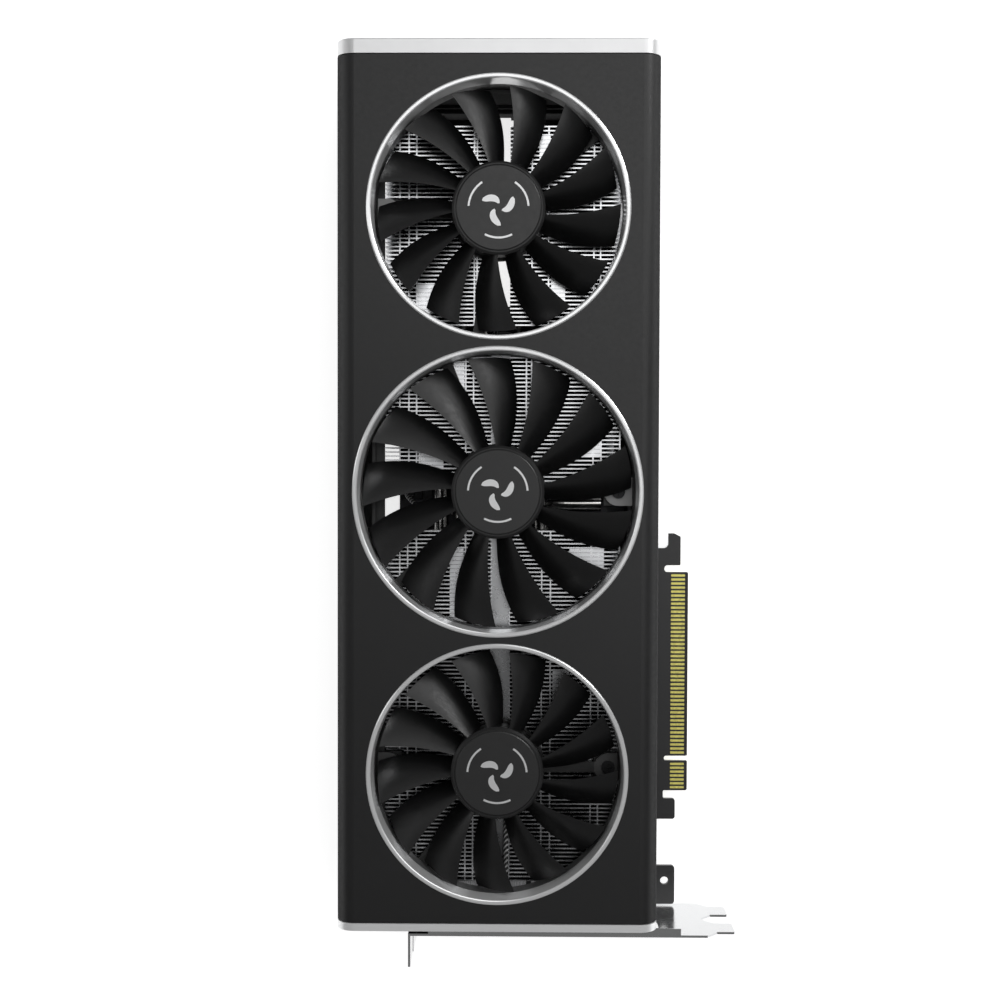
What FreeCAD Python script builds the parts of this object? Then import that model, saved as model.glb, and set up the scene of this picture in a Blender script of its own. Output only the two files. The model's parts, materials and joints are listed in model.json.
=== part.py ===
import FreeCAD, Part
import math
import os

# Graphics card: three axial fans in a long shroud, fin stacks on heat pipes, a board with an
# edge connector, and a two-slot bracket.
# Frame: the origin lies on the backplate's outer face, under the middle fan's axis.
# +X points to the edge connector, +Y away from the bracket, +Z to the fan side. Millimetres.

Vec = FreeCAD.Vector

# ---- driving dimensions: housing -------------------------------------------------------
HALF_WIDTH = 57.28          # shroud, across the card
HALF_LENGTH = 153.7         # shroud, along the card
FRONT_Z = 57.0              # fan-side face
SKIRT_Z = 7.0               # lower edge of the shroud's side walls
EDGE_ROUND = 6.5            # long front edges
WALL = 2.0
SHADOW_GAP = 0.4            # groove between shroud and end cap
TONGUE_INSET = 0.7          # depth of that groove
PANEL_FOOT_Z = FRONT_Z - EDGE_ROUND     # the front panel meets the side walls here
SIDE_VENTS = ((-130, -68), (-42, -6), (78, 126))
SIDE_VENT_HEIGHT = (20, 36)
POWER_OPENING = (-58, -43, 20.5, 59.5, 5, 17.6)     # low and high X, Y, Z
FAR_CAP = 5.4               # thickness of the far end cap
IO_CAP = 2.7                # thickness of the end cap at the bracket
FAR_GUIDE_Y = 142.9         # inner air-guide wall behind the far fan
LEFT_GUIDE_X = -44.4        # inner air-guide walls along the card
RIGHT_GUIDE_X = 48.6
GUIDE_WALL = 1.2
LEDGE_X = -41.3             # inner edge of the ledge on the left guide wall

# ---- driving dimensions: fans ------------------------------------------------------------
FAN_PITCH = 100.2
OUTER_BEZEL_R = 46.6
MIDDLE_BEZEL_R = 51.5
FANS = {
    # name: centre along Y, bezel radius, ear distance, first blade angle, sides that have an ear
    "far": (FAN_PITCH, OUTER_BEZEL_R, 40.2, 4.8, (-1,)),
    "mid": (0.0, MIDDLE_BEZEL_R, 43.4, 14.4, (1,)),
    "io": (-FAN_PITCH, OUTER_BEZEL_R, 40.2, 5.3, (-1, 1)),
}
PLAIN_ARMS = {"far": (51.3, 189.8), "mid": (227.1, 337.9), "io": (218.0,)}    # degrees clockwise from +Y
BEZEL_LIP = 1.75
BEZEL_DROP = 2.25           # bezel radius minus duct radius
BEZEL_PROUD = 0.5
BEZEL_FOOT_Z = 50.3
DUCT_END_Z = 43.4
DUCT_WALL = 0.3             # the duct's outside radius minus the bezel's
BLADES = 13
TIP_GAP = 1.3               # duct radius minus blade tip radius
HUB_R = 16.5
HUB_TOP_Z = 55.0
HUB_FOOT_Z = 44.2
CUP_R = 15.0                # inside of the hub
CUP_ROOF_Z = 53.4
BLADE_TOP_Z = 54.2
BLADE_DEPTH = 8.6
BLADE_THICK = 1.3
ROOT_LEAD, TIP_LEAD = 14.9, 4.8       # leading edge, degrees clockwise from the first angle
ROOT_CHORD, TIP_CHORD = 18.9, 18.0    # degrees
ARM_TOP_Z = DUCT_END_Z
ARM_THICK = 2.0
BASE_R = 17.2
EAR_R = 5.1
SHAFT_R = 1.5
BEARING_BORE_R = 1.55
BEARING_R = 3.4
BEARING_TUBE_R = 4.6

# ---- driving dimensions: board and cooler ------------------------------------------------
BACKPLATE_Z = 1.5
BOARD_Z, BOARD_TOP_Z = 4.0, 5.6
FLOW_EDGE_Y = 66.0          # the board ends here, the far fan blows past it
BOARD_IO_Y = -161.85
GPU_X, GPU_Y = 5.0, -62.0
PACKAGE = 50.0
DIE_TOP_Z = 7.4
COLD_PLATE_Z = 12.4
COLD_PLATE = 66.0
PIPE_R = 3.0
PIPE_Z = 13.4
PIPE_XS = (-22.6, -14.1, -5.6, 7.4, 24.6)
PIPE_ENDS = (-139.0, 130.0)
RISER_X = 16.0
FIN_SLAB_Z = PIPE_Z + PIPE_R
FIN_SLAB = 1.0
FIN_TOP_Z = 40.5
FIN_PITCH = 1.49
FIN_THICK = 0.5
FIN_LEFT, FIN_RIGHT = -41.1, 44.4
CHANNEL_LEFT, CHANNEL_RIGHT = -2.4, 4.05
FAR_FINS = (60.0, 133.4)
MID_FINS = (2.0, 52.0)
IO_FINS = (-143.0, -13.0)

# ---- driving dimensions: edge connector and bracket (card standard) ----------------------
EDGE_X = 73.37
FINGER_LEFT, FINGER_RIGHT = 66.74, 72.5
LONG_FIELD = (-103.65, -32.0)
SHORT_FIELD = (-117.2, -105.55)
LONG_FINGERS = 45
SHORT_FINGERS = 7
BRACKET_Y = -162.6
BRACKET_SHEET = 0.86
BRACKET_BOTTOM_Z, BRACKET_TOP_Z = 2.0, 40.74
FLANGE_X = -32.73
FLANGE_END_Y = -174.94
TONGUE_END_X = 87.9
SLOT_CENTRES_Z = (11.21, 31.53)
TONGUE_WIDTH = 10.19
WIDE_PORT = 16.2
PORT_XS = (-15.5, 2.7, 20.9, 39.1)    # the first is the narrower socket
BRACKET_FEET = (-27.6, 57.0)


# ---- helpers -----------------------------------------------------------------------------
def box(x_low, x_high, y_low, y_high, z_low, z_high):
    size = (x_high - x_low, y_high - y_low, z_high - z_low)
    return Part.makeBox(*size, Vec(x_low, y_low, z_low))


def cylinder(radius, z_low, z_high, x=0.0, y=0.0):
    return Part.makeCylinder(radius, z_high - z_low, Vec(x, y, z_low))


def tube(outer, inner, z_low, z_high, x=0.0, y=0.0):
    return cylinder(outer, z_low, z_high, x, y).cut(cylinder(inner, z_low, z_high, x, y))


def joined(shapes):
    first, *rest = shapes
    return first.multiFuse(rest).removeSplitter() if rest else first


def without(shape, cutters):
    return shape.cut(Part.makeCompound(cutters))


def rounded_path(points, radii, closed=False):
    """A wire through the points; each corner is an arc of its own radius."""
    count = len(points)
    stops = []
    for index, point in enumerate(points):
        at_end = not closed and index in (0, count - 1)
        if at_end or radii[index] == 0:
            stops.append((point, None, point))
            continue
        before = (points[index - 1] - point).normalize()
        after = (points[(index + 1) % count] - point).normalize()
        half = before.getAngle(after) / 2
        reach = radii[index] / math.tan(half)
        sagitta = radii[index] / math.sin(half) - radii[index]
        middle = point + (before + after).normalize() * sagitta
        stops.append((point + before * reach, middle, point + after * reach))
    edges = []
    for index, (start, middle, end) in enumerate(stops):
        if middle is not None:
            edges.append(Part.Arc(start, middle, end).toShape())
        if closed or index < count - 1:
            following = stops[(index + 1) % count][0]
            if end.distanceToPoint(following) > 1e-6:
                edges.append(Part.LineSegment(end, following).toShape())
    return Part.Wire(edges)


def plate(corners, z_low, z_high):
    """An upright prism; a corner is (x, y) or (x, y, radius)."""
    points = [Vec(corner[0], corner[1], z_low) for corner in corners]
    radii = [corner[2] if len(corner) == 3 else 0 for corner in corners]
    face = Part.Face(rounded_path(points, radii, closed=True))
    return face.extrude(Vec(0, 0, z_high - z_low))


def rounded_block(x_low, x_high, y_low, y_high, z_low, z_high, radius):
    corners = [(x_low, y_low), (x_high, y_low), (x_high, y_high), (x_low, y_high)]
    return plate([(x, y, radius) for x, y in corners], z_low, z_high)


def wall_prism(corners, y_low, y_high):
    """A prism along Y; a corner is (x, z) or (x, z, radius)."""
    points = [Vec(corner[0], y_low, corner[1]) for corner in corners]
    radii = [corner[2] if len(corner) == 3 else 0 for corner in corners]
    face = Part.Face(rounded_path(points, radii, closed=True))
    return face.extrude(Vec(0, y_high - y_low, 0))


def body_block(half_width, z_low, z_high, corner, y_low, y_high):
    """The housing's cross-section: a box whose front long edges are round."""
    corners = [
        (-half_width, z_low),
        (-half_width, z_high, corner),
        (half_width, z_high, corner),
        (half_width, z_low),
    ]
    return wall_prism(corners, y_low, y_high)


def turned(profile, x=0.0, y=0.0):
    """A solid of revolution from (radius, z) points, about the upright axis at x, y."""
    points = [Vec(x + radius, y, z) for radius, z in profile]
    face = Part.Face(Part.makePolygon(points + points[:1]))
    return face.revolve(Vec(x, y, 0), Vec(0, 0, 1), 360)


def bent_tube(points, radii, radius):
    """A round bar along straight runs joined by tangent arcs."""
    path = rounded_path([Vec(*point) for point in points], radii)
    start = Vec(*points[0])
    heading = Vec(*points[1]) - start
    section = Part.Wire(Part.Circle(start, heading, radius).toShape())
    return path.makePipeShell([section], True, False)


def at_angle(shape, degrees, x=0.0, y=0.0):
    copy = shape.copy()
    copy.rotate(Vec(x, y, 0), Vec(0, 0, 1), degrees)
    return copy


def save(node, *solids):
    shape = solids[0] if len(solids) == 1 else Part.makeCompound(list(solids))
    shape.exportStep(os.path.join("parts", node + ".step"))


# ---- housing -----------------------------------------------------------------------------
def side_windows(y_spans, z_low, z_high):
    """Long vents through both side walls and the guide walls behind them."""
    cutters = []
    for y_low, y_high in y_spans:
        for x_low, x_high in ((-HALF_WIDTH - 1, -43.0), (RIGHT_GUIDE_X - 1, HALF_WIDTH + 1)):
            middle_z = (z_low + z_high) / 2
            radius = (z_high - z_low) / 2
            cutters.append(box(x_low, x_high, y_low, y_high, z_low, z_high))
            for y_end in (y_low, y_high):
                end = Part.makeCylinder(radius, x_high - x_low, Vec(x_low, y_end, middle_z), Vec(1, 0, 0))
                cutters.append(end)
    return cutters


def interior():
    """The space inside the front panel and the side walls."""
    return body_block(HALF_WIDTH - WALL, 0, FRONT_Z - WALL, EDGE_ROUND - WALL,
                      -HALF_LENGTH + WALL, HALF_LENGTH - WALL)


def fan_shroud():
    """The front panel with its rounded long edges; the fans look out of its three holes."""
    skin = body_block(HALF_WIDTH, PANEL_FOOT_Z, FRONT_Z, EDGE_ROUND,
                      -HALF_LENGTH + SHADOW_GAP, HALF_LENGTH - SHADOW_GAP)
    tongue = body_block(HALF_WIDTH - TONGUE_INSET, PANEL_FOOT_Z, FRONT_Z - TONGUE_INSET,
                        EDGE_ROUND - TONGUE_INSET, -HALF_LENGTH, HALF_LENGTH)
    holes = [cylinder(bezel_r - 0.9, PANEL_FOOT_Z, FRONT_Z + 1, 0, y) for y, bezel_r, _, _, _ in FANS.values()]
    return without(skin.fuse(tongue), [interior()] + holes)


def shroud_walls():
    """Left, right, far and bracket-side walls under the front panel."""
    inner = HALF_WIDTH - WALL
    shoulder = HALF_LENGTH - SHADOW_GAP
    height = (SKIRT_Z, PANEL_FOOT_Z)
    vents = side_windows(SIDE_VENTS, *SIDE_VENT_HEIGHT)
    walls = []
    for side in (-1, 1):
        wall = box(*sorted((side * inner, side * HALF_WIDTH)), -shoulder, shoulder, *height)
        walls.append(without(wall, vents + [box(*POWER_OPENING)]))
    exhaust = box(-50, 50, -HALF_LENGTH - 1, -HALF_LENGTH + WALL + 1, 5, 44)
    for side in (1, -1):
        wide = box(-inner, inner, *sorted((side * (HALF_LENGTH - WALL), side * shoulder)), *height)
        edge = HALF_WIDTH - TONGUE_INSET
        tongue = box(-edge, edge, *sorted((side * shoulder, side * HALF_LENGTH)), *height)
        wall = wide.fuse(tongue).removeSplitter()
        walls.append(wall if side > 0 else wall.cut(exhaust))
    return walls


def fan_duct(y, bezel_r):
    duct_r = bezel_r - BEZEL_DROP
    outer_r = bezel_r + DUCT_WALL
    ring = cylinder(outer_r, DUCT_END_Z, FRONT_Z, 0, y).common(interior())
    bores = [cylinder(duct_r, DUCT_END_Z - 1, FRONT_Z, 0, y), cylinder(bezel_r - 0.9, BEZEL_FOOT_Z, FRONT_Z, 0, y)]
    return without(ring, bores)


def air_guides():
    """Inner walls that keep the air in the fins, with shelves for the fans' ears, and four posts."""
    ear_foot_z = ARM_TOP_Z - ARM_THICK
    left = [
        box(LEFT_GUIDE_X - GUIDE_WALL, LEFT_GUIDE_X, -146, FAR_GUIDE_Y, SKIRT_Z, FRONT_Z),
        box(LEFT_GUIDE_X - 0.5, LEDGE_X, -146, FAR_GUIDE_Y, 39.4, ear_foot_z),
    ]
    right = [box(RIGHT_GUIDE_X, RIGHT_GUIDE_X + GUIDE_WALL, -146, FAR_GUIDE_Y, SKIRT_Z, FRONT_Z)]
    far = [
        box(-HALF_WIDTH, HALF_WIDTH, FAR_GUIDE_Y, FAR_GUIDE_Y + GUIDE_WALL, BACKPLATE_Z + 0.1, FRONT_Z),
        box(LEFT_GUIDE_X, RIGHT_GUIDE_X, FAR_GUIDE_Y - 1.0, FAR_GUIDE_Y + 0.5, 24.0, 25.2),
        box(LEFT_GUIDE_X, RIGHT_GUIDE_X, FAR_GUIDE_Y - 1.8, FAR_GUIDE_Y + 0.5, 19.0, 20.4),
    ]
    cutters = side_windows(SIDE_VENTS, *SIDE_VENT_HEIGHT)
    cutters.append(box(*POWER_OPENING))
    cutters.append(box(CHANNEL_LEFT, CHANNEL_RIGHT, FAR_GUIDE_Y - 3, FAR_GUIDE_Y + 3, 0, 5.8))
    for y, bezel_r, ear, _, ear_sides in FANS.values():
        cutters.append(cylinder(bezel_r + DUCT_WALL, DUCT_END_Z, FRONT_Z + 1, 0, y))
        for side in ear_sides:
            wall_x = RIGHT_GUIDE_X + 0.5 if side > 0 else LEFT_GUIDE_X - 0.5
            ends = sorted((side * (ear - EAR_R), wall_x))
            shelf = box(*ends, y - EAR_R, y + EAR_R, ear_foot_z - 2.4, ear_foot_z)
            (right if side > 0 else left).append(shelf)
            cutters.append(cylinder(1.1, 36, DUCT_END_Z, side * ear, y))
    guides = [without(joined(pieces), cutters).common(interior()) for pieces in (left, right, far)]
    for x, y in SHROUD_SCREWS:
        post = cylinder(3.2, BOARD_TOP_Z, FRONT_Z, x, y).common(interior())
        guides.append(post.cut(cylinder(1.25, BOARD_TOP_Z - 1, 16, x, y)))
    return guides


def end_cap_far():
    block = body_block(HALF_WIDTH, 1.0, FRONT_Z, EDGE_ROUND, HALF_LENGTH, HALF_LENGTH + FAR_CAP)
    hollow = body_block(HALF_WIDTH - 3, 4.0, FRONT_Z - 3, EDGE_ROUND - 3,
                        HALF_LENGTH - 1, HALF_LENGTH + FAR_CAP - 2.4)
    outer_rim = [edge for edge in block.Edges
                 if min(v.Point.y for v in edge.Vertexes) > HALF_LENGTH + FAR_CAP - 0.01]
    return block.makeFillet(0.7, outer_rim).cut(hollow)


def end_cap_io():
    block = body_block(HALF_WIDTH, SKIRT_Z, FRONT_Z, EDGE_ROUND, -HALF_LENGTH - IO_CAP, -HALF_LENGTH)
    opening = wall_prism([(-50, 5), (-50, 44, 3), (50, 44, 3), (50, 5)], -HALF_LENGTH - 5, -HALF_LENGTH + 1)
    return block.cut(opening)


def fan_bezel(y, bezel_r):
    lip_r = bezel_r - BEZEL_LIP
    duct_r = bezel_r - BEZEL_DROP
    top = FRONT_Z + BEZEL_PROUD
    profile = [
        (bezel_r, FRONT_Z), (bezel_r - 0.15, top - 0.18), (bezel_r - 0.5, top),
        (lip_r + 0.45, top - 0.02), (lip_r + 0.1, top - 0.2), (lip_r, top - 0.6),
        (duct_r, BEZEL_FOOT_Z), (duct_r + 1.3, BEZEL_FOOT_Z), (duct_r + 1.3, FRONT_Z),
    ]
    return turned(profile, 0, y)


# ---- fans --------------------------------------------------------------------------------
def blade(duct_r):
    """One swept blade, clockwise from +Y, from inside the hub wall to the tip radius."""
    tip_r = duct_r - TIP_GAP
    stations = 5
    profile_steps = 8
    sections = []
    for station in range(stations):
        span = station / (stations - 1)
        radius = HUB_R - 1.0 + span * (tip_r + 1.2 - HUB_R + 1.0)
        reach = (radius - HUB_R) / (tip_r - HUB_R)
        lead = ROOT_LEAD + (TIP_LEAD - ROOT_LEAD) * reach
        bulge = 1.6 * math.sin(math.pi * min(max(reach, 0), 1))
        chord = ROOT_CHORD + (TIP_CHORD - ROOT_CHORD) * reach + bulge
        half_chord = math.radians(chord / 2)
        middle = math.radians(lead + chord / 2)
        outward = Vec(math.sin(middle), math.cos(middle), 0)
        along = Vec(math.cos(middle), -math.sin(middle), 0)
        upper, lower = [], []
        for step in range(profile_steps + 1):
            part_way = step / profile_steps
            offset = radius * math.tan(half_chord) * (2 * part_way - 1)
            fall = BLADE_DEPTH * (0.35 * part_way + 0.65 * part_way ** 2)
            thickness = BLADE_THICK * (0.45 + 0.55 * math.sin(math.pi * part_way) ** 0.8)
            skin = outward * radius + along * offset
            upper.append(skin + Vec(0, 0, BLADE_TOP_Z - fall))
            lower.append(skin + Vec(0, 0, BLADE_TOP_Z - fall - thickness))
        top_curve = Part.BSplineCurve()
        top_curve.interpolate(upper)
        bottom_curve = Part.BSplineCurve()
        bottom_curve.interpolate(lower[::-1])
        nose = Part.LineSegment(lower[0], upper[0])
        tail = Part.LineSegment(upper[-1], lower[-1])
        curves = (nose, top_curve, tail, bottom_curve)
        sections.append(Part.Wire([curve.toShape() for curve in curves]))
    loft = Part.makeLoft(sections, True, False)
    return loft.common(cylinder(tip_r, HUB_FOOT_Z, HUB_TOP_Z))


def fan_rotor(y, duct_r, first_angle):
    hub = turned([
        (0, CUP_ROOF_Z), (0, HUB_TOP_Z - 0.35), (CUP_R + 0.2, HUB_TOP_Z - 0.35), (CUP_R + 0.2, HUB_TOP_Z),
        (HUB_R - 0.8, HUB_TOP_Z), (HUB_R, HUB_TOP_Z - 0.8), (HUB_R, HUB_FOOT_Z), (CUP_R, HUB_FOOT_Z),
        (CUP_R, CUP_ROOF_Z),
    ])
    boss = cylinder(3.2, 52.2, CUP_ROOF_Z + 0.2)
    shaft_hole = cylinder(SHAFT_R, 52.0, 54.0)
    cavity = cylinder(CUP_R, HUB_FOOT_Z - 1, CUP_ROOF_Z)
    first = blade(duct_r).cut(cavity)
    blades = [at_angle(first, -first_angle + TIP_LEAD - number * 360 / BLADES) for number in range(BLADES)]
    rotor = hub.multiFuse([boss] + blades).cut(shaft_hole)
    rotor.translate(Vec(0, y, 0))
    return rotor


def hub_badge(y):
    return turned([
        (0, HUB_TOP_Z - 0.35), (0, HUB_TOP_Z + 0.05), (CUP_R - 0.3, HUB_TOP_Z + 0.05),
        (CUP_R + 0.1, HUB_TOP_Z - 0.2), (CUP_R + 0.1, HUB_TOP_Z - 0.35),
    ], 0, y)


def fan_frame(y, duct_r, ear, ear_sides, plain_arms):
    """Motor base with three arms; the arms that end in an ear are screwed to the air guides."""
    low = ARM_TOP_Z - ARM_THICK
    floor = low + 0.8
    arm_half = 1.9
    ear_end = min(ear + EAR_R, duct_r - 0.8)
    pieces = [
        cylinder(BASE_R, low, ARM_TOP_Z, 0, y),
        cylinder(BEARING_TUBE_R, low, 51.8, 0, y),
    ]
    holes = [cylinder(BEARING_R, floor, 52, 0, y)]
    for direction in plain_arms:
        arm = box(-arm_half, arm_half, y, y + duct_r + 1.2, low, ARM_TOP_Z)
        pieces.append(at_angle(arm, -direction, 0, y))
    for side in ear_sides:
        pieces.append(box(*sorted((0, side * ear)), y - arm_half, y + arm_half, low, ARM_TOP_Z))
        ends = sorted((side * ear, side * ear_end))
        rounded = cylinder(EAR_R, low, ARM_TOP_Z, side * ear, y)
        pieces.append(rounded.common(box(-ear_end, ear_end, y - 9, y + 9, low, ARM_TOP_Z)))
        pieces.append(box(*ends, y - EAR_R, y + EAR_R, low, ARM_TOP_Z))
        holes.append(cylinder(1.3, low - 1, ARM_TOP_Z + 1, side * ear, y))
    return without(joined(pieces), holes)


def motor_stator(y):
    """Laminated core with nine wound poles, pressed on the bearing tube."""
    poles = []
    for number in range(9):
        arm = box(6.0, 12.0, -0.9, 0.9, 45.6, 50.4)
        shoe = box(11.6, 12.9, -3.4, 3.4, 45.6, 50.4).common(cylinder(13.2, 45, 51))
        coil = box(7.4, 11.4, -2.0, 2.0, 45.0, 51.0)
        poles.append(at_angle(joined([arm, shoe, coil]), number * 40))
    core = joined([cylinder(6.6, 45.0, 51.0)] + poles).cut(cylinder(BEARING_TUBE_R, 44, 52))
    core.translate(Vec(0, y, 0))
    return core


def pan_screw(x, y, seat_z, head_r, head, shank_r, tip_z, downward=True):
    """A pan-head screw with a cross recess; its head stands on the seat."""
    way = 1 if downward else -1
    low, high = sorted((seat_z, seat_z + way * head))
    recess_low, recess_high = sorted((seat_z + way * head * 0.35, seat_z + way * (head + 1)))
    shank_low, shank_high = sorted((tip_z, seat_z))
    slot = head_r * 0.62
    body = joined([cylinder(head_r, low, high, x, y), cylinder(shank_r, shank_low, shank_high, x, y)])
    cross = [
        box(x - slot, x + slot, y - 0.3, y + 0.3, recess_low, recess_high),
        box(x - 0.3, x + 0.3, y - slot, y + slot, recess_low, recess_high),
    ]
    return without(body, cross)


# ---- cooler ------------------------------------------------------------------------------
def fin_stack(y_low, y_high, rails, folds, slab_left, has_floor):
    """Thin plates across the card, tied by rails; a channel parts the left and right halves."""
    count = int((y_high - y_low - FIN_THICK) / FIN_PITCH) + 1
    halves = ((FIN_LEFT, CHANNEL_LEFT), (CHANNEL_RIGHT, FIN_RIGHT))
    end_y = y_low + (count - 1) * FIN_PITCH + FIN_THICK
    pieces = []
    for number in range(count):
        y = y_low + number * FIN_PITCH
        for left, right in halves:
            pieces.append(box(left, right, y, y + FIN_THICK, FIN_SLAB_Z, FIN_TOP_Z))
        for left, right, fold_low, fold_high in folds:
            if fold_low <= y <= fold_high and number < count - 1:
                pieces.append(box(left, right, y, y + FIN_PITCH - 0.12, FIN_TOP_Z - 0.35, FIN_TOP_Z))
    for x in rails:
        pieces.append(box(x - 0.25, x + 0.25, y_low, end_y, FIN_TOP_Z - 0.9, FIN_TOP_Z - 0.2))
    if has_floor:
        pieces.append(box(slab_left, FIN_RIGHT - 1, y_low, end_y, FIN_SLAB_Z, FIN_SLAB_Z + FIN_SLAB))
        pieces.append(box(CHANNEL_LEFT - 0.3, CHANNEL_RIGHT + 0.3, y_low, end_y, 38.0, 38.8))
    else:
        for left, right in ((slab_left, CHANNEL_LEFT), (CHANNEL_RIGHT, FIN_RIGHT - 1)):
            pieces.append(box(left, right, y_low, end_y, FIN_SLAB_Z, FIN_SLAB_Z + FIN_SLAB))
        pieces.append(box(CHANNEL_LEFT - 1, CHANNEL_RIGHT + 1, y_low, y_low + FIN_THICK, FIN_SLAB_Z, 36.0))
    stack = pieces[0].multiFuse(pieces[1:])
    reliefs = []
    for y, _, ear, _, ear_sides in FANS.values():
        reach = EAR_R + 0.8
        for side in ear_sides:
            ends = sorted((side * (ear - reach), side * 60))
            reliefs.append(box(*ends, y - reach, y + reach, 38.4, 44))
    return without(stack, reliefs)


def heat_pipes():
    """Straight pipes through both fin stacks, and one that climbs beside the middle fan."""
    low_y, high_y = PIPE_ENDS
    pipes = []
    for x in PIPE_XS:
        body = Part.makeCylinder(PIPE_R, high_y - low_y, Vec(x, low_y, PIPE_Z), Vec(0, 1, 0))
        rims = [edge for edge in body.Edges if edge.Curve.TypeId == "Part::GeomCircle"]
        pipes.append(body.makeFillet(1.2, rims))
    riser = [(RISER_X, -92.0, PIPE_Z), (RISER_X, -4.4, PIPE_Z), (RISER_X, -4.4, 36.0), (37.4, -4.4, 36.0)]
    pipes.append(bent_tube(riser, [0, 8.0, 8.0, 0], PIPE_R - 0.1))
    return pipes


def cold_plate(pipes, screw_spots):
    half = COLD_PLATE / 2
    slab = rounded_block(GPU_X - half, GPU_X + half, GPU_Y - half, GPU_Y + half, DIE_TOP_Z, COLD_PLATE_Z, 2.0)
    holes = [cylinder(1.4, DIE_TOP_Z - 1, 10.2, x, y) for x, y in screw_spots]
    return without(slab, pipes + holes)


# ---- board -------------------------------------------------------------------------------
def board_outline():
    """Board outline, counter-clockwise: edge connector side first, from the bracket end."""
    return [
        (-54.0, BOARD_IO_Y, 1.0), (68.7, BOARD_IO_Y, 1.3), (68.7, -146.7, 1.3), (61.0, -146.7, 1.0),
        (61.0, -128.4, 1.0), (68.7, -128.4, 1.0), (68.7, -120.4, 1.0), (64.0, -120.4, 0.8),
        (64.0, SHORT_FIELD[0], 0.5), (EDGE_X, SHORT_FIELD[0], 0.6), (EDGE_X, SHORT_FIELD[1], 0.4),
        (64.3, SHORT_FIELD[1], 0.9), (64.3, LONG_FIELD[0], 0.9), (EDGE_X, LONG_FIELD[0], 0.4),
        (EDGE_X, LONG_FIELD[1], 0.6), (64.1, LONG_FIELD[1], 1.2), (64.1, -29.35, 1.2), (70.35, -29.35, 0.5),
        (70.35, -18.2, 0.4), (67.9, -16.95, 0.4), (65.6, -16.95, 0.3), (65.6, -22.7, 1.8),
        (56.5, -22.7), (56.5, FLOW_EDGE_Y, 1.0), (-54.0, FLOW_EDGE_Y, 1.0), (-54.0, 20.0, 1.0),
        (-38.7, 20.0, 1.0), (-38.7, -15.0, 1.0), (-54.0, -15.0, 1.0),
    ]


def bevelled_edge():
    """Cutters that bevel both faces of the contact tongue."""
    bevel = 0.45
    low_y, high_y = SHORT_FIELD[0] - 1, LONG_FIELD[1] + 1
    cutters = []
    for z_face, z_inner in ((BOARD_TOP_Z, BOARD_TOP_Z - bevel), (BOARD_Z, BOARD_Z + bevel)):
        corners = [(EDGE_X - 1.2, z_face), (EDGE_X + 1, z_face), (EDGE_X + 1, z_inner), (EDGE_X, z_inner)]
        cutters.append(wall_prism(corners, low_y, high_y))
    return cutters


def contact_row(field, count):
    """Gold fingers on both faces of the board, evenly spaced over one contact field."""
    low, high = field[0] + 0.5, field[1] - 0.5
    pitch = (high - low) / count
    width = pitch * 0.58
    fingers = []
    for number in range(count):
        y = low + (number + 0.5) * pitch
        for z in (BOARD_TOP_Z, BOARD_Z - 0.05):
            finger = rounded_block(FINGER_LEFT, EDGE_X - 1.25, y - width / 2, y + width / 2, z, z + 0.05, 0.25)
            fingers.append(finger)
    return fingers


def memory_chips(z_low, z_high, inset):
    chips = []
    for y in (GPU_Y + 42.0, GPU_Y - 42.0):
        for number in range(4):
            x = GPU_X - 24.0 + number * 16.0
            half_x, half_y = 6.0 - inset, 7.0 - inset
            chips.append(box(x - half_x, x + half_x, y - half_y, y + half_y, z_low, z_high))
    return chips


def choke_spots():
    left = [(-33.0, y) for y in range(-128, -20, 12)]
    right = [(44.0, y) for y in range(-128, -20, 12)]
    return left + right


def choke(x, y):
    core = rounded_block(x - 3.5, x + 3.5, y - 4.2, y + 4.2, BOARD_TOP_Z, 12.4, 0.6)
    feet = [box(x - 1.2, x + 1.2, y + side * 4.2 - 0.3, y + side * 4.2 + 0.3, BOARD_TOP_Z, 8.0) for side in (-1, 1)]
    return joined([core] + feet)


def transistor_spots():
    return [(x + (-8.0 if x < 0 else 8.0), y) for x, y in choke_spots()]


def regulator_plate(board_screws):
    """Aluminium plate over memory and regulators, open over chokes and the cold plate."""
    low, high = 7.6, 9.0
    half = COLD_PLATE / 2 + 0.6
    outline = [
        (-43.6, -140.0, 2.0), (47.9, -140.0, 2.0), (47.9, -4.0, 2.0), (-38.2, -4.0, 1.0),
        (-38.2, -16.5, 1.0), (-43.6, -16.5, 1.0),
    ]
    slab = plate(outline, low, high)
    cutters = [box(GPU_X - half, GPU_X + half, GPU_Y - half, GPU_Y + half, low - 1, high + 1)]
    for x in (-33.0, 44.0):
        cutters.append(box(x - 3.8, x + 3.8, -133, -15.0, low - 1, high + 1))
    bosses = [cylinder(2.6, BOARD_TOP_Z, high, x, y) for x, y in board_screws]
    holes = [cylinder(1.2, BOARD_TOP_Z - 1, high + 1, x, y) for x, y in board_screws]
    return without(joined([slab.cut(Part.makeCompound(cutters))] + bosses), holes)


def power_socket(y):
    """Right-angle socket whose eight square cells open away from the board edge."""
    body = rounded_block(-56.4, -43.8, y - 9.4, y + 9.4, BOARD_TOP_Z, 15.4, 0.5)
    latch = box(-56.0, -51.0, y - 2.4, y + 2.4, 15.4, 16.8)
    ramp = box(-53.5, -50.0, y - 3.0, y + 3.0, 16.2, 17.5)
    cells = []
    for row_z in (8.35, 12.55):
        for column in range(4):
            cell_y = y + (column - 1.5) * 4.2
            cells.append(box(-57, -46.4, cell_y - 1.7, cell_y + 1.7, row_z - 1.7, row_z + 1.7))
    return without(joined([body, latch]), cells + [ramp])


def power_pins(y):
    pins = []
    for row_z in (8.35, 12.55):
        for column in range(4):
            cell_y = y + (column - 1.5) * 4.2
            pins.append(box(-53.2, -46.4, cell_y - 0.6, cell_y + 0.6, row_z - 0.6, row_z + 0.6))
    return pins


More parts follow.
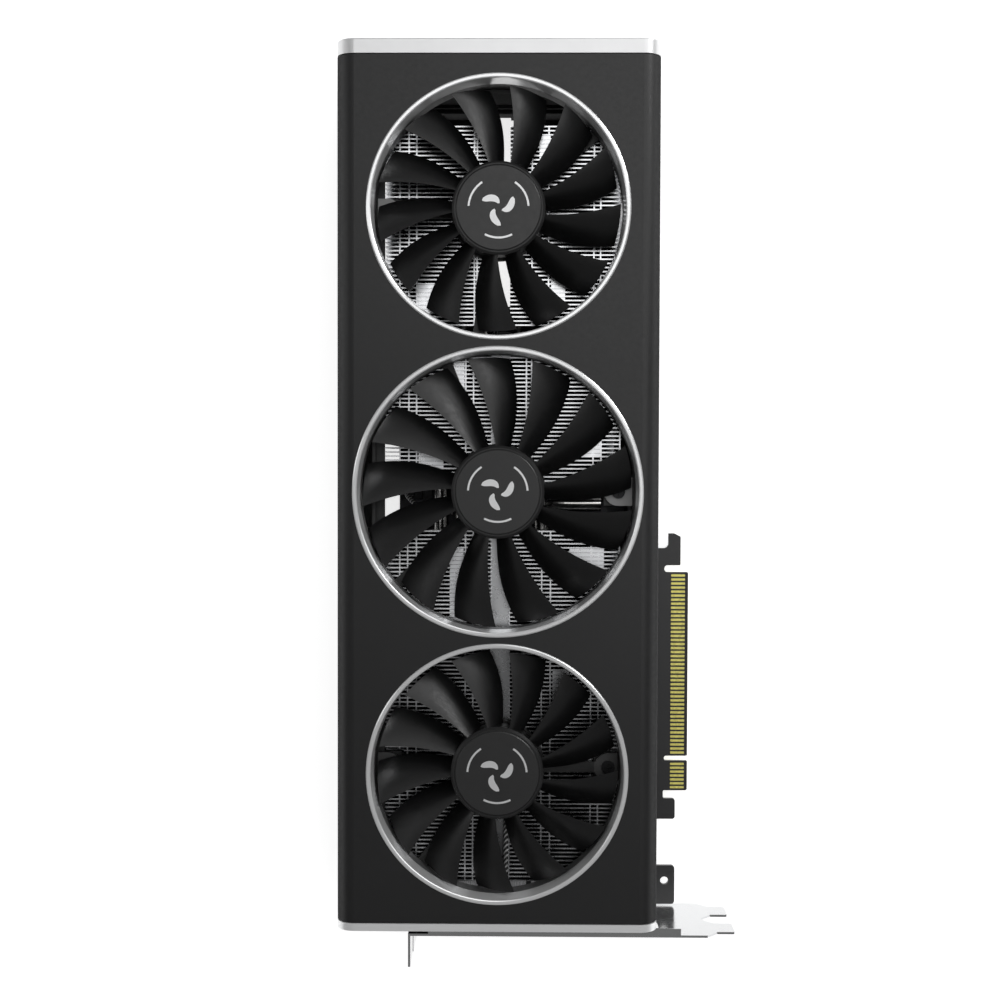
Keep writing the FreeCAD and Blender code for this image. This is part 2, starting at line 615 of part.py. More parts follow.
def port_section(x, width, height, inset, chamfer_both):
    """Cross-section corners of a video socket standing on the board."""
    low, high = BOARD_TOP_Z + inset, BOARD_TOP_Z + height - inset
    left, right = x - width / 2 + inset, x + width / 2 - inset
    cut = 1.5
    corners = [(left, high), (right, high)]
    corners += [(right, low + cut), (right - cut, low)] if chamfer_both else [(right, low)]
    corners += [(left + cut, low), (left, low + cut)]
    return corners


def port_shell(x, width, height, chamfer_both):
    front, back, depth = BRACKET_Y - BRACKET_SHEET - 0.5, -148.0, 11.0
    shell = wall_prism(port_section(x, width, height, 0.0, chamfer_both), front, back)
    mouth = wall_prism(port_section(x, width, height, 0.4, chamfer_both), front - 1, front + depth)
    return shell.cut(mouth)


def port_tongue(x, width):
    front = BRACKET_Y - BRACKET_SHEET + 1.5
    return box(x - width / 2, x + width / 2, front, BRACKET_Y - BRACKET_SHEET + 10.5, 7.9, 9.1)


# ---- bracket -----------------------------------------------------------------------------
def slot_bracket():
    half_tongue = TONGUE_WIDTH / 2
    narrow = BRACKET_TOP_Z - SLOT_CENTRES_Z[1] - half_tongue
    shoulder_x = TONGUE_END_X - 6.6
    fork = (SLOT_CENTRES_Z[1] - SLOT_CENTRES_Z[0] - TONGUE_WIDTH) / 2 - 0.9
    corners = [(FLANGE_X, BRACKET_BOTTOM_Z), (shoulder_x - narrow, BRACKET_BOTTOM_Z)]
    for centre in SLOT_CENTRES_Z:
        if centre != SLOT_CENTRES_Z[0]:
            corners.append((shoulder_x - fork, centre - half_tongue - fork))
        corners += [
            (shoulder_x, centre - half_tongue), (TONGUE_END_X, centre - half_tongue, 1.0),
            (TONGUE_END_X, centre + half_tongue, 1.0), (shoulder_x, centre + half_tongue),
        ]
        if centre == SLOT_CENTRES_Z[0]:
            corners.append((shoulder_x - fork, centre + half_tongue + fork))
    corners += [(shoulder_x - narrow, BRACKET_TOP_Z), (FLANGE_X, BRACKET_TOP_Z)]
    outer_y = BRACKET_Y - BRACKET_SHEET
    sheet = wall_prism(corners, outer_y, BRACKET_Y)
    flange = box(FLANGE_X, FLANGE_X + BRACKET_SHEET, FLANGE_END_Y, BRACKET_Y, BRACKET_BOTTOM_Z, BRACKET_TOP_Z)
    lip = box(-25.3, 67.4, BRACKET_Y, BRACKET_Y + 2.4, BRACKET_TOP_Z - BRACKET_SHEET, BRACKET_TOP_Z)
    feet = [box(x - 3.2, x + 3.2, BRACKET_Y, -156.6, BOARD_TOP_Z, BOARD_TOP_Z + BRACKET_SHEET) for x in BRACKET_FEET]
    cutters = [cylinder(1.5, 4, 8, x, -158.6) for x in BRACKET_FEET]
    for z in (6.0, 26.3):
        cutters.append(box(FLANGE_X - 1, FLANGE_X + 2, FLANGE_END_Y - 1, FLANGE_END_Y + 6.1, z - 2.2, z + 2.2))
        notch_end = Vec(FLANGE_X - 1, FLANGE_END_Y + 6.1, z)
        cutters.append(Part.makeCylinder(2.2, 3, notch_end, Vec(1, 0, 0)))
    for number in range(19):
        x = -24.0 + number * 4.6
        vent = [(x - 1.2, 24.0, 1.1), (x + 1.2, 24.0, 1.1), (x + 1.2, 36.6, 1.1), (x - 1.2, 36.6, 1.1)]
        cutters.append(wall_prism(vent, outer_y - 1, BRACKET_Y + 1))
    for number, x in enumerate(PORT_XS):
        width, height, both = (15.0, 5.7, True) if number == 0 else (WIDE_PORT, 5.9, False)
        cutters.append(wall_prism(port_section(x, width, height, -0.15, both), outer_y - 1, BRACKET_Y + 0.01))
    return without(joined([sheet, flange, lip] + feet), cutters)


# ---- backplate and fasteners -------------------------------------------------------------
BOARD_SCREWS = ((-41.0, -137.0), (5.0, -137.0), (40.0, -137.0), (-41.0, -19.5), (5.0, -8.0), (40.5, -8.0))
CLAMP_SCREWS = tuple((GPU_X + a * 29.0, GPU_Y + b * 29.0) for a in (-1, 1) for b in (-1, 1))
SHROUD_SCREWS = ((-51.5, -148.0), (51.5, -148.0), (-51.5, 147.8), (51.5, 147.8))


def backplate():
    left, right = -56.8, 56.8
    low_y, high_y = -160.5, HALF_LENGTH - 0.1
    floor = rounded_block(left, right, low_y, high_y, 0, BACKPLATE_Z, 2.5)
    rim_outer = rounded_block(left, right, low_y, high_y, 0, 3.6, 2.5)
    rim_inner = rounded_block(left + 1, right - 1, low_y + 1, high_y - 1, -1, 5, 1.5)
    tail_outer = rounded_block(left, right, FLOW_EDGE_Y + 2, high_y, 0, SKIRT_Z, 2.5)
    tail_inner = box(left + 1, right - 1, FLOW_EDGE_Y - 2, high_y - 1, -1, 9)
    pads = [cylinder(3.2, 0, BOARD_Z, x, y) for x, y in BOARD_SCREWS + SHROUD_SCREWS[:2]]
    pads += [cylinder(3.4, 0, BOARD_TOP_Z, x, y) for x, y in SHROUD_SCREWS[2:]]
    tray = joined([floor, rim_outer.cut(rim_inner), tail_outer.cut(tail_inner)] + pads)
    cutters = []
    bars = ((-50.0, -39.0), (-36.0, -26.0), (-23.0, -13.5), (-10.5, 8.6), (11.6, 21.6), (24.6, 34.6), (37.6, 49.0))
    for left_x, right_x in bars:
        slot_end_y = 146.0 if left_x < 0 < right_x else 140.6
        cutters.append(rounded_block(left_x, right_x, 71.0, slot_end_y, -1, 3, 2.0))
    cutters.append(rounded_block(-48.0, -38.4, -15.5, 20.5, -1, 3, 1.5))
    half = 36.0
    window = rounded_block(GPU_X - half, GPU_X + half, GPU_Y - half, GPU_Y + half, -1, 3, 4.0)
    cutters.append(window)
    for x, y in BOARD_SCREWS + SHROUD_SCREWS:
        cutters.append(cylinder(1.4, -1, BOARD_TOP_Z + 1, x, y))
        cutters.append(cylinder(2.55, -1, 1.0, x, y))
    return without(tray, cutters)


def clamp_plate():
    """Sprung cross behind the processor, tied to the cold plate through the board."""
    low, high = 2.8, BOARD_Z
    reach = 29.0 * math.sqrt(2)
    bar = box(-reach, reach, -3.2, 3.2, low, high)
    bars = [at_angle(bar, angle) for angle in (45, 135)]
    pads = [cylinder(4.6, low, high, x - GPU_X, y - GPU_Y) for x, y in CLAMP_SCREWS]
    ring = tube(15.0, 9.0, low, high)
    shape = joined(bars + pads + [ring]).cut(cylinder(7.0, 0, 5))
    shape.translate(Vec(GPU_X, GPU_Y, 0))
    return without(shape, [cylinder(1.6, 0, 5, x, y) for x, y in CLAMP_SCREWS])


# ---- internal fan leads ------------------------------------------------------------------
LEAD_R = 0.9
LEADS = {
    # route from the fan's base to its socket on the board, and the corner radii
    "far": ([(-1.45, 86.0, 41.4), (-1.45, 86.0, 38.2), (-1.45, 57.0, 38.2), (-1.45, 57.0, 11.0)], [0, 2.0, 5.0, 0]),
    "mid": ([(-16.6, -7.6, 42.4), (-27.5, -7.6, 42.4), (-33.5, -1.6, 38.0), (-33.5, -1.6, 11.0)], [0, 6.0, 4.0, 0]),
    "io": ([(3.1, -117.4, 42.4), (3.1, -145.4, 42.4), (3.1, -145.4, 11.0)], [0, 5.0, 0]),
}


# ---- build -------------------------------------------------------------------------------
os.makedirs("parts", exist_ok=True)

save("fan_shroud", fan_shroud())
save("shroud_walls", *shroud_walls())
save("fan_ducts", *[fan_duct(y, bezel_r) for y, bezel_r, _, _, _ in FANS.values()])
save("air_guides", *air_guides())
save("end_cap_far", end_cap_far())
save("end_cap_io", end_cap_io())

bearings, ear_screws, leads, lead_sockets = [], [], [], []
for fan_name, (fan_y, bezel_radius, ear_x, start_angle, eared) in FANS.items():
    duct_radius = bezel_radius - BEZEL_DROP
    save("fan_bezel_" + fan_name, fan_bezel(fan_y, bezel_radius))
    save("fan_rotor_" + fan_name, fan_rotor(fan_y, duct_radius, start_angle))
    save("hub_badge_" + fan_name, hub_badge(fan_y))
    save("rotor_magnet_" + fan_name, tube(CUP_R, 13.6, 44.6, 52.4, 0, fan_y))
    save("fan_shaft_" + fan_name, cylinder(SHAFT_R, 42.5, 54.0, 0, fan_y))
    save("fan_frame_" + fan_name, fan_frame(fan_y, duct_radius, ear_x, eared, PLAIN_ARMS[fan_name]))
    save("motor_stator_" + fan_name, motor_stator(fan_y))
    bearings.append(tube(BEARING_R, BEARING_BORE_R, 42.6, 51.6, 0, fan_y))
    for ear_side in eared:
        ear_screws.append(pan_screw(ear_side * ear_x, fan_y, ARM_TOP_Z, 2.4, 1.0, 1.1, 39.5))
    route, bends = LEADS[fan_name]
    leads.append(bent_tube(route, bends, LEAD_R))
    end_x, end_y, end_z = route[-1]
    socket_x = end_x - (3.6 if end_x > 0 else 1.1)
    lead_sockets.append(box(socket_x, socket_x + 4.8, end_y - 2.2, end_y + 2.2, BOARD_TOP_Z, end_z))
save("fan_bearings", *bearings)
save("fan_screws", *ear_screws)
save("fan_leads", *leads)
save("fan_sockets", *lead_sockets)

far_rails = (-35.9, -32.6, -29.8, -8.9, -7.9, 12.0, 18.0, 34.4, 36.8, 44.1)
mid_rails = (-35.9, -32.6, -29.8, -11.9, -9.1, 10.1, 12.0, 34.4, 37.3, 44.1)
io_rails = (-35.9, -33.0, -29.8, -11.9, -9.1, 15.9, 19.1, 33.9, 36.6, 44.1)
far_folds = ((14.6, 18.6, 116.0, 128.0), (19.0, 24.0, 68.0, 80.0), (-30.0, -22.0, 64.0, 74.0))
mid_folds = ((-16.3, -12.4, 24.0, 46.0), (30.0, 37.0, 12.0, 24.0), (-29.0, -20.0, 6.0, 14.0))
io_folds = ((26.0, 38.5, -30.0, -22.0), (-17.6, -12.6, -48.0, -22.0), (20.0, 26.0, -76.0, -66.0))
save("heatsink_fins_far", fin_stack(*FAR_FINS, far_rails, far_folds, FIN_LEFT, False))
save("heatsink_fins_mid", fin_stack(*MID_FINS, mid_rails, mid_folds, -38.0, True))
save("heatsink_fins_io", fin_stack(*IO_FINS, io_rails, io_folds, -38.0, True))

pipe_list = heat_pipes()
save("heat_pipes", *pipe_list)
save("cold_plate", cold_plate(pipe_list, CLAMP_SCREWS))
save("regulator_plate", regulator_plate(BOARD_SCREWS))

board = plate(board_outline(), BOARD_Z, BOARD_TOP_Z)
board_holes = [cylinder(1.5, 3, 7, x, y) for x, y in BOARD_SCREWS + SHROUD_SCREWS[:2]]
board_holes += [cylinder(1.6, 3, 7, x, y) for x, y in CLAMP_SCREWS]
board_holes += [cylinder(1.2, 3, 7, x, -158.6) for x in BRACKET_FEET]
board_holes.append(cylinder(1.55, 3, 7, 64.72, -152.65))
save("circuit_board", without(board, board_holes + bevelled_edge()))
save("edge_contacts", *contact_row(LONG_FIELD, LONG_FINGERS), *contact_row(SHORT_FIELD, SHORT_FINGERS))

half_package = PACKAGE / 2
save("gpu_package", rounded_block(GPU_X - half_package, GPU_X + half_package, GPU_Y - half_package,
                                  GPU_Y + half_package, BOARD_TOP_Z, 6.6, 1.0))
save("gpu_die", box(GPU_X - 13, GPU_X + 13, GPU_Y - 12, GPU_Y + 12, 6.6, DIE_TOP_Z))
save("memory_chips", *memory_chips(BOARD_TOP_Z, 6.8, 0.0))
transistor_pads = [box(x - 2, x + 2, y - 3, y + 3, 6.6, 7.6) for x, y in transistor_spots() if x < 0]
save("thermal_pads", *memory_chips(6.8, 7.6, 0.5), *transistor_pads)
save("vrm_chokes", *[choke(x, y) for x, y in choke_spots()])
save("vrm_transistors", *[box(x - 2.5, x + 2.5, y - 3.5, y + 3.5, BOARD_TOP_Z, 6.6)
                          for x, y in transistor_spots()])
save("capacitors", *[turned([(0, BOARD_TOP_Z), (3.2, BOARD_TOP_Z), (3.2, 7.2), (3.0, 7.5), (3.2, 7.8),
                             (3.2, 12.4), (2.8, 12.8), (0, 12.8)], x, y)
                     for x in (34.0, 42.0) for y in range(12, 60, 9)])

SOCKET_YS = (30.4, 49.8)
save("power_socket_1", power_socket(SOCKET_YS[0]))
save("power_socket_2", power_socket(SOCKET_YS[1]))
save("power_pins", *power_pins(SOCKET_YS[0]), *power_pins(SOCKET_YS[1]))

save("video_socket_narrow", port_shell(PORT_XS[0], 15.0, 5.7, True))
save("video_sockets_wide", *[port_shell(x, WIDE_PORT, 5.9, False) for x in PORT_XS[1:]])
save("socket_tongues", port_tongue(PORT_XS[0], 11.0), *[port_tongue(x, 12.4) for x in PORT_XS[1:]])

save("slot_bracket", slot_bracket())
save("bracket_screws", *[pan_screw(x, -158.6, BOARD_TOP_Z + BRACKET_SHEET, 2.1, 1.3, 1.2, BOARD_Z)
                         for x in BRACKET_FEET])

save("backplate", backplate())
save("backplate_screws", *[pan_screw(x, y, 1.0, 2.4, 0.9, 1.2, 9.0, False) for x, y in BOARD_SCREWS])
save("shroud_screws", *[pan_screw(x, y, 1.0, 2.4, 0.9, 1.2, 14.0, False) for x, y in SHROUD_SCREWS])
save("clamp_plate", clamp_plate())
save("clamp_washers", *[tube(3.2, 1.5, 2.0, 2.8, x, y) for x, y in CLAMP_SCREWS])
save("clamp_screws", *[pan_screw(x, y, 2.0, 3.2, 1.5, 1.4, 10.2, False) for x, y in CLAMP_SCREWS])
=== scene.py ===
import json
import math

import bmesh
import bpy
from mathutils import Matrix, Vector


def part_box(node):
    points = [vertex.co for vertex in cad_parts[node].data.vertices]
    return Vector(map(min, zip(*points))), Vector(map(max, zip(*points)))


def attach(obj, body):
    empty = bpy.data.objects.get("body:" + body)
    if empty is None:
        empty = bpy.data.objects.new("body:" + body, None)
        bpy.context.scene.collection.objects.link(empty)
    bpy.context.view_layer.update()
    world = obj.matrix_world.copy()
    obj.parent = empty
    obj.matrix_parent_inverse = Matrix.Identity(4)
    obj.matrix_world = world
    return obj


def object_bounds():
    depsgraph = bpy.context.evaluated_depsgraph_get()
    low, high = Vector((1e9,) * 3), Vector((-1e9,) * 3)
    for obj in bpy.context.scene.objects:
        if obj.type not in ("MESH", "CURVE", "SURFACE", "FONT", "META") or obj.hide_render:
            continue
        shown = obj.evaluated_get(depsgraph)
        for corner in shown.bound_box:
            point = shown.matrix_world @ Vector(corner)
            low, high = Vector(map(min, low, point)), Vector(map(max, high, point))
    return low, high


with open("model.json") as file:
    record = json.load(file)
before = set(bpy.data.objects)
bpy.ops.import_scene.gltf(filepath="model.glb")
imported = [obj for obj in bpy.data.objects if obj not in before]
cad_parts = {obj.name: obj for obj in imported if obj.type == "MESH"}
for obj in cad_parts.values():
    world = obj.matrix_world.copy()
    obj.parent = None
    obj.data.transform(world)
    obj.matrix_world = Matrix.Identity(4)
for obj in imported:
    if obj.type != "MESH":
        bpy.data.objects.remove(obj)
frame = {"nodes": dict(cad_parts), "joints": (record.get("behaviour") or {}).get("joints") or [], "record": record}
cad_low, cad_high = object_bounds()
nodes = frame["nodes"]
MM = 0.001

# ---- sizes of painted areas, metres, and of the hub mark, millimetres ------------------------
CREST_WIDTH = 0.0024            # bright crest of a bezel, from its outer edge
CREST_BLEND = 0.0003
FIN_LIT_DEPTH = (0.0010, 0.0042)    # painted light and shade, below the fins' upper edges: fully lit, in painted shade
FIN_LIT_END = (0.001, 0.004)        # the same, in from the fins' ends: painted light at the ends, painted shade further in
FIN_SHADE_Y = -0.056            # fins on the bracket's side of this lie under the last fan and get painted shade
FIN_SHADE_BLEND = 0.006
FIN_SHADE = 0.58                # painted shade: their share of the full brightness
EAR_START_X = (0.0350, 0.0352)  # grey ears of a fan frame begin here
EAR_HALF_WIDTH = (0.0067, 0.0065)
LEAD_TWIST = 3300.0             # radians per metre
MARK_FOOT, MARK_TOP = -0.02, 0.08   # from the badge's face
MARK_ARC_INNER, MARK_ARC_OUTER = 10.2, 10.9
MARK_ARC_HALF = 27              # degrees
NEAR_BLACK = (0.012, 0.012, 0.012)
STEEP_FROM, STEEP_TO = 0.92, 0.45   # upward part of the normal

# ---- camera --------------------------------------------------------------------------------
CAMERA_PLACE = Vector((0.00667, 0.01184, 0.56767))
CAMERA_FORWARD = Vector((-0.0114537, -0.0285436, -0.9995269)).normalized()
CAMERA_UP = Vector((-0.0031085, 0.9995887, -0.0285097)).normalized()
CAMERA_LENS = 52.17


def make_camera():
    data = bpy.data.cameras.new("camera")
    data.lens = CAMERA_LENS
    data.sensor_width = 36.0
    data.clip_start = 0.02
    data.clip_end = 50.0
    camera = bpy.data.objects.new("camera", data)
    right = CAMERA_FORWARD.cross(CAMERA_UP).normalized()
    up = right.cross(CAMERA_FORWARD)
    turn = Matrix((right, up, -CAMERA_FORWARD)).transposed()
    camera.matrix_world = Matrix.Translation(CAMERA_PLACE) @ turn.to_4x4()
    bpy.context.scene.collection.objects.link(camera)
    bpy.context.scene.camera = camera


# ---- light and floor -----------------------------------------------------------------------
def make_world():
    """A dim studio: brightest at the horizon, grey above, a little lighter overhead."""
    world = bpy.data.worlds.new("studio")
    bpy.context.scene.world = world
    world.use_nodes = True
    tree = world.node_tree
    tree.nodes.clear()
    out = tree.nodes.new("ShaderNodeOutputWorld")
    back = tree.nodes.new("ShaderNodeBackground")
    ramp = tree.nodes.new("ShaderNodeValToRGB")
    split = tree.nodes.new("ShaderNodeSeparateXYZ")
    coords = tree.nodes.new("ShaderNodeTexCoord")
    stops = [(0.0, 0.80), (0.06, 0.55), (0.35, 0.16), (0.75, 0.14), (1.0, 0.22)]
    while len(ramp.color_ramp.elements) < len(stops):
        ramp.color_ramp.elements.new(0.5)
    for element, (height, grey) in zip(ramp.color_ramp.elements, stops):
        element.position = height
        element.color = (grey, grey, grey, 1)
    tree.links.new(coords.outputs["Generated"], split.inputs[0])
    tree.links.new(split.outputs["Z"], ramp.inputs[0])
    tree.links.new(ramp.outputs[0], back.inputs["Color"])
    tree.links.new(back.outputs[0], out.inputs["Surface"])


def area_light(name, place, target, size, power):
    data = bpy.data.lights.new(name, "AREA")
    data.shape = "RECTANGLE"
    data.size, data.size_y = size
    data.energy = power
    light = bpy.data.objects.new(name, data)
    light.location = place
    light.rotation_euler = (Vector(target) - Vector(place)).to_track_quat("-Z", "Y").to_euler()
    bpy.context.scene.collection.objects.link(light)


def make_lights():
    target = (0.0, 0.0, 0.03)
    area_light("overhead", (0.46, 0.56, 1.56), target, (1.5, 1.5), 9.0)
    area_light("key", (1.1, 0.9, 0.9), target, (0.5, 0.5), 8.0)
    area_light("side", (-1.3, 0.3, 0.45), target, (0.3, 1.6), 2.0)


def make_floor():
    """A pale, evenly lit table top."""
    mesh = bpy.data.meshes.new("floor")
    shape = bmesh.new()
    bmesh.ops.create_circle(shape, cap_ends=True, segments=96, radius=6.0)
    shape.to_mesh(mesh)
    shape.free()
    floor = bpy.data.objects.new("floor", mesh)
    floor.location.z = cad_low.z - 0.0004
    bpy.context.scene.collection.objects.link(floor)
    material = bpy.data.materials.new("floor")
    material.use_nodes = True
    tree = material.node_tree
    shader = tree.nodes["Principled BSDF"]
    shader.inputs["Base Color"].default_value = (0.86, 0.86, 0.86, 1)
    shader.inputs["Roughness"].default_value = 0.6
    shader.inputs["Specular IOR Level"].default_value = 0.2
    shader.inputs["Emission Color"].default_value = (1, 1, 1, 1)
    shader.inputs["Emission Strength"].default_value = 0.78
    clear = tree.nodes.new("ShaderNodeBsdfTransparent")
    mix = tree.nodes.new("ShaderNodeMixShader")
    side = tree.nodes.new("ShaderNodeNewGeometry")
    out = tree.nodes["Material Output"]
    tree.links.new(side.outputs["Backfacing"], mix.inputs[0])
    tree.links.new(shader.outputs[0], mix.inputs[1])
    tree.links.new(clear.outputs[0], mix.inputs[2])
    tree.links.new(mix.outputs[0], out.inputs["Surface"])
    mesh.materials.append(material)


# ---- materials -----------------------------------------------------------------------------
class Finish:
    """Builds one node material on object coordinates, which are metres in the shared frame."""

    def __init__(self, name, roughness=0.5, metallic=0.0, **sockets):
        self.material = bpy.data.materials.new(name)
        self.material.use_nodes = True
        self.tree = self.material.node_tree
        self.shader = self.tree.nodes["Principled BSDF"]
        self.shader.inputs["Roughness"].default_value = roughness
        self.shader.inputs["Metallic"].default_value = metallic
        for label, value in sockets.items():
            self.shader.inputs[label.replace("_", " ")].default_value = value
        self.coords = self.tree.nodes.new("ShaderNodeTexCoord").outputs["Object"]

    def stretched(self, scale):
        mapping = self.tree.nodes.new("ShaderNodeMapping")
        mapping.inputs["Scale"].default_value = scale
        self.tree.links.new(self.coords, mapping.inputs["Vector"])
        return mapping.outputs["Vector"]

    def noise(self, scale, detail=2.0, roughness=0.5, vector=None):
        node = self.tree.nodes.new("ShaderNodeTexNoise")
        node.inputs["Scale"].default_value = scale
        node.inputs["Detail"].default_value = detail
        node.inputs["Roughness"].default_value = roughness
        self.tree.links.new(vector or self.coords, node.inputs["Vector"])
        return node.outputs["Fac"]

    def ramp(self, factor, stops):
        node = self.tree.nodes.new("ShaderNodeValToRGB")
        elements = node.color_ramp.elements
        while len(elements) < len(stops):
            elements.new(0.5)
        for element, (position, colour) in zip(elements, stops):
            element.position = position
            element.color = (*colour, 1)
        self.tree.links.new(factor, node.inputs[0])
        return node.outputs[0]

    def spread(self, factor, low, high):
        node = self.tree.nodes.new("ShaderNodeMapRange")
        node.inputs["From Min"].default_value = 0.3
        node.inputs["From Max"].default_value = 0.7
        node.inputs["To Min"].default_value = low
        node.inputs["To Max"].default_value = high
        self.tree.links.new(factor, node.inputs["Value"])
        return node.outputs[0]

    def between(self, value, start, end):
        """0 at start, 1 at end."""
        node = self.tree.nodes.new("ShaderNodeMapRange")
        node.inputs["From Min"].default_value = start
        node.inputs["From Max"].default_value = end
        self.tree.links.new(value, node.inputs["Value"])
        return node.outputs[0]

    def math(self, operation, first, second):
        node = self.tree.nodes.new("ShaderNodeMath")
        node.operation = operation
        for socket, value in zip(node.inputs, (first, second)):
            if isinstance(value, float):
                socket.default_value = value
            else:
                self.tree.links.new(value, socket)
        return node.outputs[0]

    def axes(self):
        split = self.tree.nodes.new("ShaderNodeSeparateXYZ")
        self.tree.links.new(self.coords, split.inputs[0])
        return split.outputs

    def steepness(self):
        """0 on faces that look up, 1 on upright ones."""
        split = self.tree.nodes.new("ShaderNodeSeparateXYZ")
        geometry = self.tree.nodes.new("ShaderNodeNewGeometry")
        self.tree.links.new(geometry.outputs["Normal"], split.inputs[0])
        return self.between(split.outputs["Z"], STEEP_FROM, STEEP_TO)

    def colour(self, output):
        self.tree.links.new(output, self.shader.inputs["Base Color"])

    def mottled(self, colour, change, scale, detail=3.0):
        dark = tuple(c * (1 - change) for c in colour)
        light = tuple(min(1.0, c * (1 + change)) for c in colour)
        self.colour(self.ramp(self.noise(scale, detail), [(0.3, dark), (0.7, light)]))

    def rough(self, low, high, scale, vector=None):
        self.tree.links.new(self.spread(self.noise(scale, 3.0, 0.6, vector), low, high),
                            self.shader.inputs["Roughness"])

    def bump(self, height, strength, distance):
        node = self.tree.nodes.new("ShaderNodeBump")
        node.inputs["Strength"].default_value = strength
        node.inputs["Distance"].default_value = distance
        self.tree.links.new(height, node.inputs["Height"])
        self.tree.links.new(node.outputs[0], self.shader.inputs["Normal"])


def moulded_plastic(name, colour, rough, grain=2600.0, depth=0.00002):
    finish = Finish(name)
    finish.mottled(colour, 0.07, 35.0)
    finish.rough(rough - 0.05, rough + 0.06, 700.0)
    finish.bump(finish.noise(grain, 2.0), 0.35, depth)
    return finish.material


def brushed_metal(name, colour, rough, direction):
    finish = Finish(name, metallic=1.0)
    finish.mottled(colour, 0.05, 60.0)
    streaks = finish.stretched(direction)
    finish.rough(rough - 0.06, rough + 0.08, 1.0, streaks)
    finish.bump(finish.noise(1.0, 2.0, 0.5, streaks), 0.12, 0.00002)
    return finish.material


def smooth_metal(name, colour, rough, change=0.03):
    finish = Finish(name, metallic=1.0)
    finish.mottled(colour, change, 90.0)
    finish.rough(max(rough - 0.03, 0.02), rough + 0.05, 300.0)
    finish.bump(finish.noise(900.0), 0.05, 0.00001)
    return finish.material


def shroud_moulding(name, colour):
    """Satin black plastic, duller where it rounds over to the sides."""
    finish = Finish(name)
    finish.mottled(colour, 0.07, 35.0)
    steep = finish.steepness()
    grain = finish.spread(finish.noise(700.0, 3.0, 0.6), 0.35, 0.46)
    dull = finish.math("MULTIPLY", steep, 0.52)
    finish.tree.links.new(finish.math("ADD", grain, dull), finish.shader.inputs["Roughness"])
    finish.bump(finish.noise(2600.0, 2.0), 0.35, 0.00002)
    return finish.material


def silver_paint(name, grey):
    """Metallic paint: even, partly matt."""
    finish = Finish(name, metallic=0.45)
    finish.mottled((grey, grey * 1.005, grey * 1.01), 0.015, 90.0)
    finish.rough(0.28, 0.34, 400.0)
    return finish.material


def bezel_finish(name, centre_y, crest_radius):
    """A bright crest, and a grey satin wall below it."""
    finish = Finish(name)
    axes = finish.axes()
    across = finish.math("MULTIPLY", axes["X"], axes["X"])
    along = finish.math("SUBTRACT", axes["Y"], centre_y)
    radius = finish.math("SQRT", finish.math("ADD", across, finish.math("MULTIPLY", along, along)), 0.0)
    crest = finish.between(radius, crest_radius - CREST_BLEND, crest_radius)
    finish.colour(finish.ramp(crest, [(0.0, (0.34, 0.34, 0.345)), (1.0, (0.92, 0.925, 0.93))]))
    finish.tree.links.new(finish.math("MULTIPLY", crest, 0.55), finish.shader.inputs["Metallic"])
    finish.tree.links.new(finish.math("SUBTRACT", 0.42, finish.math("MULTIPLY", crest, 0.20)),
                          finish.shader.inputs["Roughness"])
    return finish.material


def fin_light_and_shade(name, top_z, end_x, shaded):
    """Bare aluminium with painted light and shade: painted bright at the fins' upper edges and ends, painted shade
    deeper between them.
    """
    finish = Finish(name, metallic=1.0)
    axes = finish.axes()
    lit, dark = FIN_LIT_DEPTH
    light = finish.between(axes["Z"], top_z - dark, top_z - lit)
    lit, dark = FIN_LIT_END
    left = finish.between(axes["X"], end_x[0] + dark, end_x[0] + lit)
    right = finish.between(axes["X"], end_x[1] - dark, end_x[1] - lit)
    light = finish.math("MAXIMUM", finish.math("MAXIMUM", light, left), right)
    # the io fins, under the last fan, get a further painted shade
    if shaded:
        open_end = finish.between(axes["Y"], FIN_SHADE_Y, FIN_SHADE_Y + FIN_SHADE_BLEND)
        share = finish.math("ADD", finish.math("MULTIPLY", open_end, 1.0 - FIN_SHADE), FIN_SHADE)
        light = finish.math("MULTIPLY", light, share)
    # ramp from near-black painted shade up to the lit aluminium colour
    clear = tuple(0.95 * c for c in (0.97, 0.98, 1.0))
    stops = [(0.0, (0.012, 0.012, 0.013)), (0.6, tuple(c * 0.5 for c in clear)), (1.0, clear)]
    finish.colour(finish.ramp(light, stops))
    finish.rough(0.24, 0.34, 400.0)
    return finish.material


def frame_moulding(name, ear_grey_and_shade, centre_y):
    """Black at the motor, grey at the screwed ears."""
    finish = Finish(name)
    axes = finish.axes()
    outward = finish.between(finish.math("ABSOLUTE", axes["X"], 0.0), *EAR_START_X)
    beside = finish.math("ABSOLUTE", finish.math("SUBTRACT", axes["Y"], centre_y), 0.0)
    ear = finish.math("MULTIPLY", outward, finish.between(beside, *EAR_HALF_WIDTH))
    finish.colour(finish.ramp(ear, [(0.0, NEAR_BLACK), (1.0, (ear_grey_and_shade,) * 3)]))
    finish.rough(0.42, 0.52, 900.0)
    finish.bump(finish.noise(2600.0), 0.2, 0.00001)
    return finish.material


def coated_board(name):
    """Solder mask: near black, with a fine even grain."""
    finish = Finish(name)
    finish.mottled((0.031, 0.031, 0.032), 0.06, 50.0)
    finish.rough(0.30, 0.38, 500.0)
    finish.bump(finish.noise(1500.0), 0.08, 0.00001)
    return finish.material


def gold_plate(name):
    """Gold contacts, mostly matt so that they show their colour."""
    finish = Finish(name, metallic=0.25)
    finish.mottled((1.0, 0.90, 0.24), 0.03, 90.0)
    finish.rough(0.24, 0.32, 300.0)
    return finish.material


def twisted_lead(name):
    """Twisted wires: pale and black turns along the lead."""
    finish = Finish(name)
    axes = finish.axes()
    across = finish.math("ADD", finish.math("SUBTRACT", axes["X"], axes["Y"]), axes["Z"])
    turns = finish.math("SINE", finish.math("MULTIPLY", across, LEAD_TWIST), 0.0)
    finish.colour(finish.ramp(finish.between(turns, 0.1, 0.7), [(0.0, NEAR_BLACK), (1.0, (0.42,) * 3)]))
    finish.rough(0.36, 0.46, 900.0)
    return finish.material


